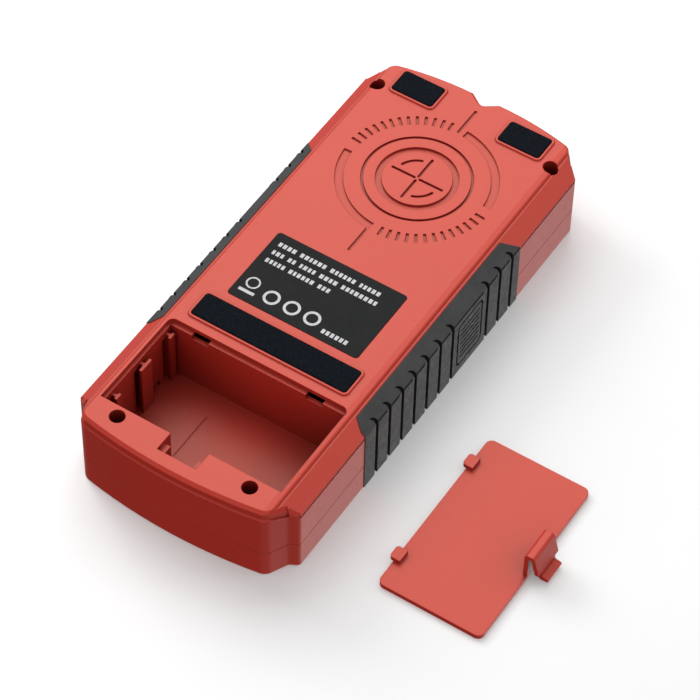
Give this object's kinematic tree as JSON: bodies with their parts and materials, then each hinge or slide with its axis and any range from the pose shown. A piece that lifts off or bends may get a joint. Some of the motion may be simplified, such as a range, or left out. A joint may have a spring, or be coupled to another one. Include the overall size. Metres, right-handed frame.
{
  "type": "stud finder",
  "caption": "Handheld stud finder lying face down, back cover up, with an open battery bay and its loose battery door beside it.",
  "frame": {"origin": "on the front face, which the case rests on, on the centre line and 80 mm from the plain end", "axes": "+X across the case towards the loose battery door, +Y along the case to the notched sensing end, +Z from the front face to the back cover"},
  "size_m": [0.1288, 0.1611, 0.028],
  "materials": {
    "red_case": "moulded, satin",
    "grip_rubber": "matt, fine texture",
    "label_film": "satin printed film",
    "felt": "short dense nap",
    "zinc_steel": "zinc plated",
    "black_plastic": "moulded",
    "nickel": "bright plated",
    "red_lead": "lead insulation",
    "black_lead": "lead insulation",
    "circuit_board": "solder resist on glass fibre",
    "chip_black": "moulded package",
    "capacitor_can": "drawn can",
    "clear_window": "clear, polished",
    "display_glass": "polished",
    "white_plastic": "moulded",
    "contact_rubber": "layered conductive strip",
    "copper": "bare copper",
    "key_rubber": "smooth matt"
  },
  "bodies": {
    "case": {"rear_cover": "red_case", "front_cover": "red_case", "left_grip": "grip_rubber", "right_grip": "grip_rubber", "label_plate": "label_film", "felt_pad_long": "felt", "felt_pad_left": "felt", "felt_pad_right": "felt", "case_screws": "zinc_steel", "board_screws": "zinc_steel", "battery_snap": "black_plastic", "snap_contacts": "nickel", "positive_lead": "red_lead", "negative_lead": "black_lead", "main_board": "circuit_board", "microcontroller": "chip_black", "board_chips": "chip_black", "crystal": "nickel", "capacitors": "capacitor_can", "buzzer": "black_plastic", "tact_switches": "black_plastic", "board_link": "chip_black", "display_window": "clear_window", "lcd_glass": "display_glass", "lcd_frame": "white_plastic", "backlight": "white_plastic", "zebra_strips": "contact_rubber", "sensor_board": "circuit_board", "sensor_plates": "copper", "live_wire_aerial": "copper", "coil_bobbin": "white_plastic", "metal_coil": "copper"},
    "battery_door": {"battery_door": "red_case"},
    "power_key": {"power_key": "key_rubber"},
    "stud_key": {"stud_key": "key_rubber"},
    "metal_key": {"metal_key": "key_rubber"},
    "live_wire_key": {"live_wire_key": "key_rubber"}
  },
  "joints": [
    {"name": "door_lift", "type": "slide", "parent": "case", "child": "battery_door", "axis": [0, 0, 1], "range_m": [0, 0.035]},
    {"name": "power_key_press", "type": "slide", "parent": "case", "child": "power_key", "axis": [0, 0, 1], "range_m": [0, 0.0006], "stiffness_N_per_m": 1500},
    {"name": "stud_key_press", "type": "slide", "parent": "case", "child": "stud_key", "axis": [0, 0, 1], "range_m": [0, 0.0006], "stiffness_N_per_m": 1500},
    {"name": "metal_key_press", "type": "slide", "parent": "case", "child": "metal_key", "axis": [0, 0, 1], "range_m": [0, 0.0006], "stiffness_N_per_m": 1500},
    {"name": "live_wire_key_press", "type": "slide", "parent": "case", "child": "live_wire_key", "axis": [0, 0, 1], "range_m": [0, 0.0006], "stiffness_N_per_m": 1500}
  ]
}
